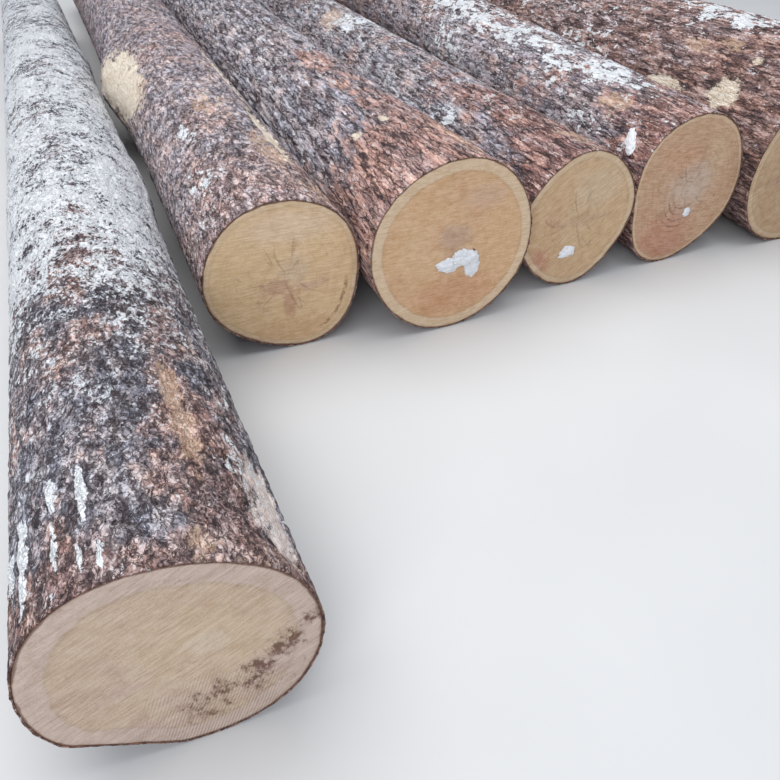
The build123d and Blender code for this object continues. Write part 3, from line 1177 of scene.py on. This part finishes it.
@dataclass(frozen=True)
class SawnFinish:
    """End grain cut by a chainsaw, with pale sapwood outside and darker heartwood inside."""

    name: str
    look: EndLook
    middle: Place               # the face's middle
    radius: float
    dirt: Colour = (0.11, 0.045, 0.03)
    check: Colour = (0.16, 0.07, 0.035)
    ring: Colour = (0.45, 0.27, 0.14)

    PITCH = 0.0062                          # metres from one saw ridge to the next
    ROUGHNESS = 0.86
    LEAST_DEPTH = 0.0005                    # of the fine relief, in metres
    WAVES = Noise(0.13, 2)                  # bends the growth rings
    WOBBLE = Noise(0.02, 3)                 # and frays them
    SAP_EDGE = Noise(0.05, 4)
    ZONE = Noise(0.13, 4, 0.55, 0.6)
    BRUSH = Noise(0.0042, 4, 0.7)           # the saw's fine scratches
    FIBRE = Noise(0.0026, 3, 0.7)
    MOTTLE = Noise(0.03, 5, 0.65)
    BLOT = Noise(0.022, 5, 0.7)
    SPOT = Noise(0.014, 5, 0.75)            # crumbs of dirt
    CLOT = Noise(0.045, 3, 0.6)             # and the areas they lie in
    WIDE_RING = Noise(0.011, 2, 0.6)
    FINE_RING = Noise(0.0034, 2, 0.6)
    RING_GAP = Noise(0.04, 3, 0.6)
    RAY = Noise(1.6, 2)
    PATCHY = Noise(0.05, 3)
    CHECK_GAP = Noise(0.016, 4, 0.7)
    CORE_BAND = (0.12, 0.62)                # share of the way out where the core's colour runs out
    RIM_BAND = (0.0046, 0.0008)             # metres from the edge over which dirt grows dense
    SHADE, GLEAM = (0.10, 0.05, 0.03), (1, 0.97, 0.92)      # painted shade and painted highlight, which the fine shading runs between
    SHADE_BAND = (0.2, 0.8)
    BLOT_BAND = (1.3, 0.45)                 # where a stain ends and where it is full, in its own sizes
    RAY_BAND = (0.020, 0.002)
    DIRT_LAYERS = (((0.3, 1.0), 0.25), ((0.72, 1.2), 0.8))  # bands of thin and thick dirt, and their cover

    def make(self) -> bpy.types.Material:
        """Builds the finish.

        Returns:
            The material.
        """
        g = Graph(self.name)
        look, width = self.look, self.look.sap_width
        share = g.swung(g.attribute("share"), (g.cloud(g.place, self.WAVES), 0.10),
                        (g.cloud(g.place, self.WOBBLE), 0.012))
        edge = g.swung(g.attribute("edge"), (g.cloud(g.place, self.SAP_EDGE), 0.014))
        colour = g.mix(g.step(share, self.CORE_BAND), look.core, look.heart)
        cloudy = g.step(g.cloud(g.place, self.ZONE), (0.62 - look.zone_share * 0.25, 0.66))
        colour = self._blotted(g, g.over(colour, look.zone, cloudy, 0.7))
        seam = tuple(channel * 0.7 for channel in look.heart)
        colour = g.over(colour, seam, g.step(edge, (width + 0.012, width)), 0.42)
        colour = g.over(colour, look.sap, g.step(edge, (width + 0.004, width - 0.004)), 0.82)
        colour = g.mix(self._rings(g, share), colour, self.ring, "MULTIPLY")
        colour = self._rayed(g, colour, share)
        ridges = self._ridges(g)
        brush = g.cloud(g.stretched(g.turned(g.place, look.brush_turn), (0.09, 1, 1)), self.BRUSH)
        fibre = g.cloud(g.place, self.FIBRE)
        # Painted shade and highlight: the saw's ridges, scratches and fibres are darkened and lightened as if
        # lit, over random mottle in the wood's tone.
        shade = g.swung(0.5, (fibre, 0.7), (brush, 1.1), (g.cloud(g.place, self.MOTTLE), 0.55), (ridges, 0.38))
        colour = g.mix(g.step(shade, self.SHADE_BAND), g.mix(0.24, colour, self.SHADE),
                       g.mix(0.16, colour, self.GLEAM))
        colour = self._checked(g, colour, share)
        colour = g.over(colour, self.dirt, g.step(edge, self.RIM_BAND), 0.7)
        colour = self._dirtied(g, colour, ridges)
        height = g.weighed((ridges, 0.7), (fibre, 0.25), (brush, 0.3))
        return g.finish(colour, self.ROUGHNESS, height, max(look.ridges, self.LEAST_DEPTH))

    def _spot(self, x: float, z: float) -> Place:
        """A place on the face."""
        return self.middle[0] + x, self.middle[1], self.middle[2] + z

    def _blotted(self, g: Graph, colour: Socket) -> Socket:
        """Lays the face's own stains over its wood.

        Args:
            g: The node tree.
            colour: The wood's colour.

        Returns:
            The colour.
        """
        bent = g.bent(g.place, 0.07, 0.05)
        ragged = g.cloud(g.place, self.BLOT)
        for blot in self.look.blots:
            moved = g.stretched(g.vector("SUBTRACT", bent, self._spot(*blot.at)),
                                (1 / blot.reach[0], 0, 1 / blot.reach[1]))
            shown = g.step(g.swung(g.vector("LENGTH", moved), (ragged, 1.8 * blot.ragged)), self.BLOT_BAND)
            colour = g.over(colour, blot.tint, shown, blot.strength)
        return colour

    def _dirtied(self, g: Graph, colour: Socket, ridges: Source) -> Socket:
        """Lays dragged bark dirt over the wood, in spots that follow the saw's ridges.

        Args:
            g: The node tree.
            colour: The wood's colour.
            ridges: The ridges' height.

        Returns:
            The colour.
        """
        if not self.look.smudges:
            return colour
        spots = g.cloud(g.stretched(g.place, (1, 1, 0.55)), self.SPOT)
        dirty = g.swung(g.attribute("smudge"), (spots, 3.4), (g.cloud(g.place, self.CLOT), 2.2), (ridges, 0.3))
        for band, most in self.DIRT_LAYERS:
            colour = g.over(colour, self.dirt, g.step(dirty, band), most)
        return colour

    def _rings(self, g: Graph, share: Source) -> Source:
        """Growth rings of uneven width.

        Args:
            g: The node tree.
            share: How far out each point is.

        Returns:
            Values from 0 to 1 where a ring is dark.
        """
        out = g.times(share, self.radius)
        place = g.node("ShaderNodeCombineXYZ", {0: out, 1: 0.37 * self.radius, 2: 0.0}).outputs[0]
        wide = g.step(g.cloud(place, self.WIDE_RING), (0.48, 0.64))
        fine = g.step(g.cloud(place, self.FINE_RING), (0.50, 0.66))
        lines = g.weighed((wide, 0.16 * self.look.rings), (fine, 0.12 * self.look.rings))
        return g.times(lines, g.step(g.cloud(g.place, self.RING_GAP), (0.35, 0.62)))

    def _rayed(self, g: Graph, colour: Socket, share: Source) -> Socket:
        """Lays thin cracks over the wood that run out from the pith.

        Args:
            g: The node tree.
            colour: The wood's colour.
            share: How far out each point is.

        Returns:
            The colour.
        """
        if not self.look.rays:
            return colour
        around = g.stretched(g.bent(g.vector("SUBTRACT", g.place, self.middle), 0.09, 0.05), (1, 0, 1))
        outward = g.node("ShaderNodeCombineXYZ", {1: g.times(share, 1.1)}).outputs[0]
        place = g.vector("ADD", g.stretched(g.vector("NORMALIZE", around), (2.6, 0, 2.6)), outward)
        line = g.step(g.apart(g.cloud(place, self.RAY), g.MIDDLE), self.RAY_BAND)
        inner = g.step(g.swung(share, (g.cloud(g.place, self.PATCHY), 0.9)), (0.62, 0.35))
        return g.over(colour, self.check, g.times(line, inner), self.look.rays)

    def _ridges(self, g: Graph) -> Source:
        """Straight ridges left by the saw's chain.

        Args:
            g: The node tree.

        Returns:
            Their height from 0 to 1.
        """
        turn = math.radians(self.look.ridge_turn)
        across = (math.cos(turn) / self.PITCH, 0.0, math.sin(turn) / self.PITCH)
        bent = g.bent(g.place, 0.12, 0.006)
        wave = g.math("SINE", g.times(g.vector("DOT_PRODUCT", bent, across), FULL_TURN))
        x, z, reach = self.look.ridge_spot
        away = g.swung(g.vector("DISTANCE", bent, self._spot(x, z)), (g.cloud(g.place, self.PATCHY), 0.2))
        strength = g.times(g.step(away, (reach, reach * 0.5)), self.look.ridge_share)
        return g.total(g.times(wave, strength, 0.5), 0.5)

    def _checked(self, g: Graph, colour: Socket, share: Source) -> Socket:
        """Lays drying cracks over the wood that follow its growth rings.

        Args:
            g: The node tree.
            colour: The wood's colour.
            share: How far out each point is.

        Returns:
            The colour.
        """
        parts = g.node("ShaderNodeSeparateXYZ", {0: g.vector("SUBTRACT", g.place, self.middle)}).outputs
        turn = g.math("ARCTAN2", parts["Z"], parts["X"])
        broken = g.step(g.cloud(g.place, self.CHECK_GAP), (0.36, 0.62))
        for check in self.look.checks:
            width, half = check.width / self.radius, math.radians(check.half_turn)
            line = g.step(g.apart(share, check.share), (width, width * 0.3))
            stretch = g.step(g.apart(turn, math.radians(check.angle)), (half, half * 0.5))
            colour = g.over(colour, self.check, g.times(line, stretch, broken), 0.7)
        return colour


@dataclass(frozen=True)
class SnowFinish:
    """Old frozen snow."""

    name: str = "snow"
    tints: Tints = Tints((0.68, 0.71, 0.77), (0.84, 0.85, 0.88))

    CRUST = Noise(0.008, 4, 0.7)
    ROUGHNESS = 0.55
    DEPTH = 0.003               # of the crust's relief, in metres

    def make(self) -> bpy.types.Material:
        """Builds the finish.

        Returns:
            The material.
        """
        g = Graph(self.name)
        crust = g.cloud(g.place, self.CRUST)
        colour = g.ramp(crust, (0.3, self.tints.middle), (0.6, self.tints.pale))
        return g.finish(colour, self.ROUGHNESS, crust, self.DEPTH)


@dataclass(frozen=True)
class DressedLog:
    """One log with its bark, its two sawn faces and the snow stuck to it."""

    look: LogLook
    stem: Stem

    def _sawn(self, end: End) -> bpy.types.Material:
        """The finish of a sawn face.

        Args:
            end: Which end it is on.

        Returns:
            The material.
        """
        centre = self.stem.centres[end]
        radius = float(self.stem.radii[0 if end is End.FRONT else -1].mean())
        name = f"{self.look.node}_{end.name.lower()}_wood"
        return SawnFinish(name, self.look.end, tuple(centre), radius).make()

    def build(self, snow: bpy.types.Material) -> list[bpy.types.Object]:
        """Makes all of the log's pieces.

        Args:
            snow: The finish shared by all snow.

        Returns:
            The pieces.
        """
        bark = BarkFinish(f"{self.look.node}_bark", self.look.bark).make()
        made = {BarkBody(self.look, self.stem).build(bark): Slot.BARK}
        for end in End:
            made[SawnFace(self.look, self.stem, end).build(self._sawn(end))] = Slot.SAWN
        for clump in self.look.clumps:
            made[SnowClump(clump, self.look, self.stem).build(snow)] = Slot.SNOW
        for piece, slot in made.items():
            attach(piece, "root")
            LOG.info("%s: %d faces, slot %s", piece.name, len(piece.data.polygons), slot.value)
        return list(made)


@dataclass(frozen=True)
class Lamp:
    """A soft square lamp."""

    name: str
    place: Place
    size: float             # metres
    power: float            # watts
    tint: Colour


@dataclass(frozen=True)
class FloorFinish:
    """A pale, matt floor with the faintest clouds."""

    name: str = "pale_floor"
    tints: Tints = Tints((0.64, 0.645, 0.65), (0.68, 0.685, 0.69))

    CLOUD = Noise(0.9, 2)
    ROUGHNESS = 0.95

    def make(self) -> bpy.types.Material:
        """Builds the finish.

        Returns:
            The material.
        """
        g = Graph(self.name)
        tone = g.ramp(g.cloud(g.place, self.CLOUD), (0.3, self.tints.middle), (0.7, self.tints.pale))
        return g.finish(tone, self.ROUGHNESS, 0.0, 0.001)


@dataclass(frozen=True)
class Studio:
    """The pale floor, the soft lamps and the camera."""

    floor_size: float = 120.0
    aim: Place = (0.0, -1.5, 0.3)       # what the lamps point at
    lamps: tuple[Lamp, ...] = (Lamp("overhead", (-1.5, -1.0, 7.5), 8.0, 545, (1.0, 0.99, 0.97)),
                               Lamp("front_left", (-5.0, -9.0, 4.5), 5.0, 260, (0.96, 0.98, 1.0)))
    sky: Colour = (0.86, 0.91, 1.0)
    sky_strength: float = 0.55
    eye_height: float = 1.4             # metres, as a hand-held camera
    eye_right: float = 0.088            # metres to the right of the front log's sawn face
    eye_back: float = 0.758             # metres in front of it
    look_down: float = 38.54            # degrees
    look_right: float = 21.70
    lens: float = 32.97                 # millimetres
    sensor: float = 36.0

    def build(self) -> None:
        """Sets everything up."""
        self._floor()
        for lamp in self.lamps:
            self._hang(lamp)
        self._sky()
        self._camera()
        bpy.context.scene.view_settings.view_transform = "Standard"

    def _floor(self) -> None:
        """Lays the floor."""
        bm = bmesh.new()
        bmesh.ops.create_grid(bm, x_segments=1, y_segments=1, size=self.floor_size / 2)
        finished_mesh("floor", bm, FloorFinish().make())

    def _hang(self, lamp: Lamp) -> None:
        """Hangs one lamp.

        Args:
            lamp: Its place, size and light.
        """
        data = bpy.data.lights.new(lamp.name, "AREA")
        data.size, data.energy, data.color = lamp.size, lamp.power, lamp.tint
        hung = bpy.data.objects.new(lamp.name, data)
        bpy.context.scene.collection.objects.link(hung)
        hung.location = lamp.place
        hung.rotation_euler = (Vector(self.aim) - Vector(lamp.place)).to_track_quat("-Z", "Y").to_euler()

    def _sky(self) -> None:
        """Sets the sky's even glow."""
        world = bpy.data.worlds.new("sky")
        world.use_nodes = True
        sky = world.node_tree.nodes["Background"]
        sky.inputs["Color"].default_value = (*self.sky, 1)
        sky.inputs["Strength"].default_value = self.sky_strength
        bpy.context.scene.world = world

    def _camera(self) -> None:
        """Puts the camera where the photograph was taken from."""
        mounts = {m["name"]: m["pos_m"] for m in frame["record"]["mounts"]}
        x, y, _ = mounts["log_1_butt"]
        data = bpy.data.cameras.new("camera")
        data.lens, data.sensor_width = self.lens, self.sensor
        camera = bpy.data.objects.new("camera", data)
        bpy.context.scene.collection.objects.link(camera)
        camera.location = (x + self.eye_right, y - self.eye_back, self.eye_height)
        camera.rotation_euler = (math.radians(90 - self.look_down), 0, math.radians(-self.look_right))
        bpy.context.scene.camera = camera


LOOKS = (
    LogLook(
        "log_1", 1.7,
        BarkLook(0.020, 0.040, 0.008, 0.85, SLATE, DUSK, rub_run=0.12, rub_far=0.22, frost_near=0.04,
                 frost_far=0.72, frost_run=1.6, frost_side=0.08,
                 bare=Tints((0.70, 0.48, 0.40), (0.94, 0.86, 0.82))),
        EndLook(heart=(0.555, 0.405, 0.285), core=(0.58, 0.435, 0.30), sap=(0.565, 0.425, 0.355),
                sap_width=0.045, zone=(0.53, 0.38, 0.30), zone_share=0.5, ridges=0.0012, ridge_turn=-22,
                ridge_spot=(0.05, -0.22, 0.19), ridge_share=0.9, rings=0.2, brush_turn=28,
                blots=(Blot((0.06, 0.03), (0.14, 0.12), (0.585, 0.425, 0.275), 0.7),
                       Blot((0.05, 0.03), (0.045, 0.035), (0.67, 0.545, 0.43), 0.5),
                       Blot((-0.13, -0.20), (0.12, 0.06), (0.53, 0.355, 0.32), 0.75),
                       Blot((-0.19, 0.0), (0.07, 0.03), (0.45, 0.31, 0.24), 0.4),
                       Blot((0.19, -0.10), (0.07, 0.06), (0.52, 0.38, 0.35))),
                smudges=(Smudge((0.02, -0.16), (0.14, -0.09), 0.050, 0.75),
                         Smudge((0.12, -0.09), (0.235, 0.0), 0.045, 0.85))),
        {Mark.BARE: (Patch(0.17, 29, 0.15, 0.060, 0.9),),
         Mark.OCHRE: (Patch(0.42, 63, 0.22, 0.028, 0.75), Patch(0.02, 50, 0.05, 0.16, 0.5)),
         Mark.RUBBED: (Patch(0.32, 56, 0.40, 0.11, 0.8), Patch(0.06, 128, 0.14, 0.14, 0.5),
                       Patch(1.1, 84, 0.5, 0.12, 0.35)),
         Mark.SNOW: (Patch(0.30, 38, 0.22, 0.06, 0.35), Patch(0.215, 108, 0.075, 0.008),
                     Patch(0.24, 120, 0.045, 0.008), Patch(0.13, 120, 0.06, 0.007, 0.9),
                     Patch(0.075, 111, 0.03, 0.006, 0.8), Patch(0.055, 104, 0.035, 0.006, 0.9),
                     Patch(0.14, 137, 0.09, 0.018, 0.9), Patch(0.17, 148, 0.06, 0.012, 0.9),
                     Patch(2.1, 22, 0.9, 0.06, 0.7))},
    ),
    LogLook(
        "log_2", 2.9,
        BarkLook(0.024, 0.060, 0.007, 0.6, LILAC, PINK, rub_run=0.7, rub_far=0.28, frost_near=0.16,
                 frost_far=0.10, frost_run=1.2, frost_side=0.05),
        EndLook(heart=(0.76, 0.52, 0.275), core=(0.74, 0.50, 0.27), sap=(0.78, 0.57, 0.36), sap_width=0.016,
                zone=(0.70, 0.46, 0.26), zone_share=0.25, ridge_turn=84, rings=0.9, rays=0.35,
                ridge_spot=(0.04, 0.10, 0.20), ridge_share=0.3,
                blots=(Blot((-0.03, -0.03), (0.06, 0.035), (0.52, 0.28, 0.17), 0.7, 1.4),
                       Blot((0.01, -0.10), (0.030, 0.06), (0.50, 0.24, 0.14), 0.7, 1.4),
                       Blot((0.08, -0.04), (0.06, 0.022), (0.56, 0.34, 0.22), 0.65, 1.4),
                       Blot((0.03, 0.02), (0.05, 0.05), (0.62, 0.47, 0.34), 0.5, 1.2),
                       Blot((0.02, 0.17), (0.17, 0.06), (0.84, 0.63, 0.43)),
                       Blot((0.0, -0.20), (0.17, 0.06), (0.66, 0.38, 0.18))),
                checks=(Check(0.86, -38, 34, 0.009),)),
        {Mark.BARE: (Patch(1.92, 154, 0.44, 0.135), Patch(0.72, 54, 0.34, 0.030, 0.9),
                     Patch(1.5, 48, 0.5, 0.020, 0.8)),
         Mark.OCHRE: (Patch(1.66, 146, 0.24, 0.10, 0.9), Patch(0.95, 90, 0.24, 0.08, 0.6),
                      Patch(0.48, 67, 0.22, 0.08, 0.6), Patch(0.12, 45, 0.14, 0.10, 0.65)),
         Mark.SNOW: (Patch(0.34, 130, 0.10, 0.060, 0.48), Patch(0.13, 138, 0.07, 0.050, 0.46),
                     Patch(0.75, 118, 0.10, 0.050, 0.44))},
    ),
    LogLook(
        "log_3", 4.3,
        BarkLook(0.019, 0.130, 0.011, 0.2, GREY, SALMON, rub_run=0.9, rub_far=0.0, frost_near=0.05,
                 frost_far=0.24, frost_run=1.8),
        EndLook(heart=(0.66, 0.40, 0.20), core=(0.67, 0.42, 0.22), sap=(0.72, 0.535, 0.35), sap_width=0.036,
                zone=(0.62, 0.35, 0.18), zone_share=0.4, ridge_turn=86, rings=0.35,
                ridge_spot=(0.12, 0.12, 0.20), ridge_share=0.4,
                blots=(Blot((0.0, -0.17), (0.20, 0.08), (0.58, 0.27, 0.125), 0.7),
                       Blot((0.0, 0.03), (0.06, 0.05), (0.47, 0.30, 0.20), 0.75, 1.3),
                       Blot((0.10, 0.16), (0.09, 0.05), (0.60, 0.37, 0.25)),
                       Blot((-0.14, 0.0), (0.06, 0.14), (0.70, 0.46, 0.25), 0.5))),
        {Mark.BARE: (Patch(0.49, 122, 0.035, 0.022, 0.9), Patch(0.51, 98, 0.03, 0.018, 0.9),
                     Patch(1.6, 44, 1.1, 0.018, 0.85)),
         Mark.OCHRE: (Patch(0.22, 60, 0.22, 0.12, 0.55),),
         Mark.RUBBED: (Patch(0.95, 88, 0.75, 0.12, 0.6),)},
        (Clump("snow_left", Where.FACE, (-0.020, -0.060), (0.090, 0.046, 0.012), 0.55),
         Clump("snow_top", Where.FACE, (0.034, -0.040), (0.095, 0.062, 0.018), 0.5),
         Clump("snow_right", Where.FACE, (0.070, -0.072), (0.055, 0.085, 0.012), 0.55)),
    ),
    LogLook(
        "log_4", 5.1,
        BarkLook(0.019, 0.130, 0.011, 0.25, GREY, RUSSET, rub_run=0.9, rub_far=0.16, frost_near=0.10,
                 frost_far=0.32, frost_run=1.6),
        EndLook(heart=(0.60, 0.39, 0.205), core=(0.60, 0.41, 0.22), sap=(0.66, 0.48, 0.30), sap_width=0.022,
                zone=(0.57, 0.37, 0.20), zone_share=0.3, ridges=0.0005, ridge_turn=-60, rings=1.2,
                rays=0.4, brush_turn=28,
                blots=(Blot((-0.16, -0.15), (0.07, 0.07), (0.48, 0.20, 0.11), 0.75),
                       Blot((0.07, 0.12), (0.10, 0.08), (0.62, 0.47, 0.31), 0.65),
                       Blot((0.0, 0.0), (0.15, 0.025), (0.46, 0.29, 0.16), 0.55, 1.3),
                       Blot((-0.10, 0.02), (0.05, 0.12), (0.56, 0.33, 0.17), 0.5))),
        {Mark.OCHRE: (Patch(2.7, 113, 0.22, 0.08, 0.8), Patch(0.16, 75, 0.18, 0.10, 0.6)),
         Mark.RUBBED: (Patch(1.0, 90, 0.9, 0.11, 0.5),),
         Mark.SNOW: (Patch(2.5, 107, 0.20, 0.10, 0.56), Patch(2.35, 80, 0.20, 0.10, 0.56),
                     Patch(0.85, 134, 0.12, 0.055, 0.50))},
        (Clump("snow", Where.FACE, (-0.034, -0.122), (0.062, 0.036, 0.008), 1.0),),
    ),
    LogLook(
        "log_5", 6.7,
        BarkLook(0.020, 0.110, 0.009, 0.35, LILAC, RUSSET, rub_run=0.55, rub_far=0.34, frost_near=0.20,
                 frost_far=0.24, frost_run=1.0),
        EndLook(heart=(0.55, 0.325, 0.185), core=(0.56, 0.385, 0.27), sap=(0.66, 0.46, 0.28), sap_width=0.014,
                zone=(0.53, 0.30, 0.165), zone_share=0.5, ridge_turn=20, rings=2.0, rays=0.4, brush_turn=-6,
                blots=(Blot((0.04, 0.03), (0.09, 0.08), (0.55, 0.41, 0.32), 0.75),
                       Blot((-0.06, -0.20), (0.13, 0.13), (0.50, 0.215, 0.125), 0.8),
                       Blot((-0.06, 0.13), (0.09, 0.06), (0.58, 0.31, 0.17)),
                       Blot((0.12, 0.12), (0.05, 0.10), (0.60, 0.42, 0.25), 0.5)),
                checks=(Check(0.26, -100, 60, 0.004), Check(0.34, -116, 52, 0.005),
                        Check(0.42, -108, 44, 0.004), Check(0.50, -102, 36, 0.004))),
        {Mark.BARE: (Patch(0.46, 69, 0.09, 0.045, 0.85),),
         Mark.OCHRE: (Patch(0.34, 126, 0.10, 0.055, 0.8),),
         Mark.SNOW: (Patch(0.45, 146, 0.12, 0.060, 0.52), Patch(0.62, 98, 0.26, 0.12, 0.66),
                     Patch(0.90, 108, 0.30, 0.16, 0.54), Patch(1.3, 98, 0.50, 0.16, 0.53),
                     Patch(2.0, 104, 0.65, 0.17, 0.52), Patch(3.0, 106, 0.80, 0.18, 0.54),
                     Patch(1.8, 150, 0.22, 0.10, 0.52))},
        (Clump("knot_snow", Where.BARK, (0.13, 142), (0.112, 0.050, 0.012), 0.25, 42),
         Clump("snow", Where.FACE, (0.031, -0.097), (0.034, 0.036, 0.005), 0.4)),
    ),
    LogLook(
        "log_6", 8.9,
        BarkLook(0.020, 0.120, 0.010, 0.3, Tints(DUSK.middle, LILAC.pale), UMBER, rub_run=1.1, rub_far=0.55,
                 frost_near=0.08, frost_far=0.22, frost_run=1.6),
        EndLook(heart=(0.50, 0.32, 0.170), core=(0.50, 0.33, 0.19), sap=(0.60, 0.43, 0.26), sap_width=0.026,
                zone=(0.47, 0.29, 0.15), zone_share=0.3, ridge_turn=50, rings=1.6, rays=0.3, brush_turn=35,
                blots=(Blot((-0.20, -0.10), (0.10, 0.03), (0.38, 0.22, 0.13), 0.6, 1.3),
                       Blot((-0.22, 0.08), (0.08, 0.09), (0.58, 0.36, 0.19), 0.5))),
        {Mark.BARE: (Patch(0.35, 152, 0.085, 0.060), Patch(0.71, 161, 0.12, 0.04, 0.9),
                     Patch(0.32, 123, 0.03, 0.025, 0.9)),
         Mark.OCHRE: (Patch(0.49, 116, 0.09, 0.04, 0.7), Patch(0.66, 126, 0.09, 0.04, 0.7)),
         Mark.SNOW: (Patch(1.4, 152, 0.24, 0.09, 0.52), Patch(0.65, 88, 0.45, 0.10, 0.58),
                     Patch(2.6, 120, 1.0, 0.14, 0.54))},
    ),
)


def main() -> None:
    """Dresses every log, sets the studio up and notes the sizes."""
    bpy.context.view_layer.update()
    snow = SnowFinish().make()
    for look in LOOKS:
        pieces = DressedLog(look, Stem(frame["nodes"][look.node])).build(snow)
        LOG.info("%s is dressed in %d pieces", look.node, len(pieces))
    Studio().build()


if __name__ == "__main__":
    main()
